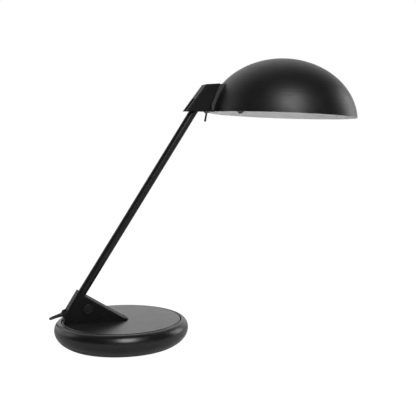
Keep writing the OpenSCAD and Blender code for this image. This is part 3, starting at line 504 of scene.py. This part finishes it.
inner_loop, outer_loop = strap_loop(0.0), strap_loop(STRAP_THICK)
verts, faces = [], []
n = len(inner_loop)
for loop in (inner_loop, outer_loop):
    for y in (-STRAP_HALF_W, STRAP_HALF_W):
        for x, z in loop:
            verts.append(COIL_AT + Vector((x, y, z)))
for k in range(n):
    j = (k + 1) % n
    faces += [(k, j, n + j, n + k), (2 * n + k, 3 * n + k, 3 * n + j, 2 * n + j),
              (k, 2 * n + k, 2 * n + j, j), (n + k, n + j, 3 * n + j, 3 * n + k)]
tie = mesh_object("coil_strap", verts, faces)
soften(tie, 0.25 * MM)
finish_piece(tie, "turntable", strap, "tie_strap", "coil_tie")

# Moulded flat plug: X runs from the lead towards the pins
plug_place = Matrix.Translation(PLUG_AT) @ Matrix.Rotation(PLUG_TURN, 4, "Z")
rotate_x = Matrix.Rotation(math.radians(90), 4, "Y")
PLUG_STEPS = 24
PLUG_RING = 40
PLUG_SQUARENESS = 0.42  # power of the cross-section: 1 is an ellipse, 0 a rectangle
SLEEVE_LENGTH = 14
stations = []
for i in range(PLUG_STEPS + 1):
    u = i / PLUG_STEPS
    x = (SLEEVE_LENGTH + 34 * u) * MM
    grow = min(1.0, u / 0.5)
    half_w = (6.6 + (17.5 - 6.6) * (0.5 - 0.5 * math.cos(math.pi * grow))) * MM
    half_t = (6.4 if 0.1 < u < 0.97 else 5.9) * MM
    half_w -= 0.6 * MM * (u > 0.97)
    stations.append((x, half_w, half_t))
verts, faces = [], []
for x, w, t in stations:
    for k in range(PLUG_RING):
        a = 2 * math.pi * k / PLUG_RING
        c, s = math.cos(a), math.sin(a)
        y = w * abs(c) ** PLUG_SQUARENESS * (1 if c >= 0 else -1)
        z = t * abs(s) ** PLUG_SQUARENESS * (1 if s >= 0 else -1)
        verts.append(plug_place @ Vector((x, y, z)))
for i in range(PLUG_STEPS):
    for k in range(PLUG_RING):
        j = (k + 1) % PLUG_RING
        a, b = i * PLUG_RING, (i + 1) * PLUG_RING
        faces.append((a + k, a + j, b + j, b + k))
faces.append(tuple(range(PLUG_RING)))
faces.append(tuple(PLUG_STEPS * PLUG_RING + k for k in range(PLUG_RING)))
plug = mesh_object("moulded_plug", verts, faces)
soften(plug, 0.5 * MM)
finish_piece(plug, "turntable", plug_plastic, "plug_plastic", "plug_body")

# Ribbed sleeve between the lead and the plug
SLEEVE_RIBS = 6
profile = [(0.0, 0.0), (2.1 * MM, 0.0)]
for i in range(SLEEVE_RIBS):
    x = (0.6 + 2.25 * i) * MM
    r = (2.9 + 0.25 * i) * MM
    profile += [(r, x), (r + 0.1 * MM, x + 0.8 * MM), (r, x + 1.5 * MM),
                (r - 0.7 * MM, x + 1.6 * MM), (r - 0.7 * MM, x + 2.15 * MM)]
profile += [(4.3 * MM, SLEEVE_LENGTH * MM), (0.0, SLEEVE_LENGTH * MM)]
sleeve = turned("plug_boot", profile, plug_place @ rotate_x, 40)
finish_piece(sleeve, "turntable", plug_plastic, "plug_plastic", "plug_sleeve")

# ---------------------------------------------------------------- threaded screw cap of the bulb
holder_place = (Matrix.Translation(PIVOT) @ Matrix.Rotation(SHADE_TILT, 4, "Y")
                @ Matrix.Translation(Vector((0, 0, 9.7)) * MM) @ rotate_x)
CAP_TURNS = 6
THREAD_STEPS = 8
THREAD_PITCH = 3.0
cap_x = 51.8 * MM
profile = [(0.0, cap_x), (4.4 * MM, cap_x), (5.8 * MM, cap_x + 1.5 * MM),
           (11.6 * MM, cap_x + 4.6 * MM)]
for i in range(CAP_TURNS):
    for k in range(THREAD_STEPS):
        u = k / THREAD_STEPS
        r = 12.35 + 0.7 * math.cos(2 * math.pi * (u - 0.5))
        profile.append((r * MM, cap_x + (4.8 + (i + u) * THREAD_PITCH) * MM))
profile += [(12.9 * MM, cap_x + 23.2 * MM), (13.0 * MM, cap_x + 24.9 * MM),
            (0.0, cap_x + 24.9 * MM)]
screw_cap = turned("bulb_screw_cap", profile, holder_place, 64)
finish_piece(screw_cap, "head", nickel, "nickel", "bulb_cap")


# ---------------------------------------------------------------- stage and light
def shown_white(tree):
    """1 for camera and transmission rays, 0 for all others, glossy ones among them."""
    path = tree.nodes.new("ShaderNodeLightPath")
    seen = tree.nodes.new("ShaderNodeMath")
    seen.operation = "MAXIMUM"
    tree.links.new(path.outputs["Is Camera Ray"], seen.inputs[0])
    tree.links.new(path.outputs["Is Transmission Ray"], seen.inputs[1])
    return seen.outputs[0]


def mixed(tree, share, first, second, out):
    mix = tree.nodes.new("ShaderNodeMixShader")
    tree.links.new(share, mix.inputs[0])
    tree.links.new(first.outputs[0], mix.inputs[1])
    tree.links.new(second.outputs[0], mix.inputs[2])
    tree.links.new(mix.outputs[0], out.inputs[0])


def stage_material():
    """Floor that camera and transmission rays see as white. It keeps a soft shadow."""
    mat = bpy.data.materials.new("white_floor")
    mat.use_nodes = True
    tree = mat.node_tree
    tree.nodes.clear()
    out = tree.nodes.new("ShaderNodeOutputMaterial")
    diffuse = tree.nodes.new("ShaderNodeBsdfDiffuse")
    diffuse.inputs["Color"].default_value = (0.74, 0.74, 0.74, 1)
    glow = tree.nodes.new("ShaderNodeEmission")
    glow.inputs["Color"].default_value = (1, 1, 1, 1)
    glow.inputs["Strength"].default_value = 1.15
    part = tree.nodes.new("ShaderNodeMath")
    part.operation = "MULTIPLY"
    part.inputs[1].default_value = 0.85
    tree.links.new(shown_white(tree), part.inputs[0])
    mixed(tree, part.outputs[0], diffuse, glow, out)
    return mat


FLOOR_HALF = 9
FLOOR_DROP = 0.0003  # keeps the floor off the felt's own face
corners = ((-1, -1), (1, -1), (1, 1), (-1, 1))
floor = mesh_object("floor", [(x * FLOOR_HALF, y * FLOOR_HALF, -FLOOR_DROP) for x, y in corners],
                    [(0, 1, 2, 3)], False)
floor.data.materials.append(stage_material())

# The world is bright towards +Y, behind the lamp, and dark towards the camera
world = bpy.data.worlds.new("studio")
scene.world = world
world.use_nodes = True
tree = world.node_tree
tree.nodes.clear()
out = tree.nodes.new("ShaderNodeOutputWorld")
dirs = tree.nodes.new("ShaderNodeTexCoord").outputs["Generated"]
split = tree.nodes.new("ShaderNodeSeparateXYZ")
tree.links.new(dirs, split.inputs[0])
back = tree.nodes.new("ShaderNodeMapRange")
back.inputs["From Min"].default_value = 0.1
back.inputs["From Max"].default_value = 0.85
back.inputs["To Min"].default_value = 0.012
back.inputs["To Max"].default_value = 1.0
back.interpolation_type = "SMOOTHSTEP"
tree.links.new(split.outputs["Y"], back.inputs["Value"])
studio = tree.nodes.new("ShaderNodeBackground")
studio.inputs["Color"].default_value = (1, 1, 1, 1)
tree.links.new(back.outputs["Result"], studio.inputs["Strength"])
white = tree.nodes.new("ShaderNodeBackground")
white.inputs["Color"].default_value = (1, 1, 1, 1)
white.inputs["Strength"].default_value = 1.0
mixed(tree, shown_white(tree), studio, white, out)


def softbox(name, place, aim, size, power):
    data = bpy.data.lights.new(name, "AREA")
    data.shape = "RECTANGLE"
    data.size, data.size_y = size
    data.energy = power
    obj = bpy.data.objects.new(name, data)
    scene.collection.objects.link(obj)
    obj.location = place
    obj.rotation_mode = "QUATERNION"
    obj.rotation_quaternion = (Vector(aim) - Vector(place)).to_track_quat("-Z", "Y")


softbox("key", (0.06, -1.9, 1.65), (0.15, 0, 0.25), (1.0, 1.6), 46)
softbox("left_fill", (-2.2, 1.0, 1.3), (0, 0, 0.15), (0.6, 1.2), 3)
softbox("right_fill", (2.2, 0.45, 0.7), (0.1, 0, 0.25), (0.9, 1.3), 11)

scene.view_settings.view_transform = "Standard"
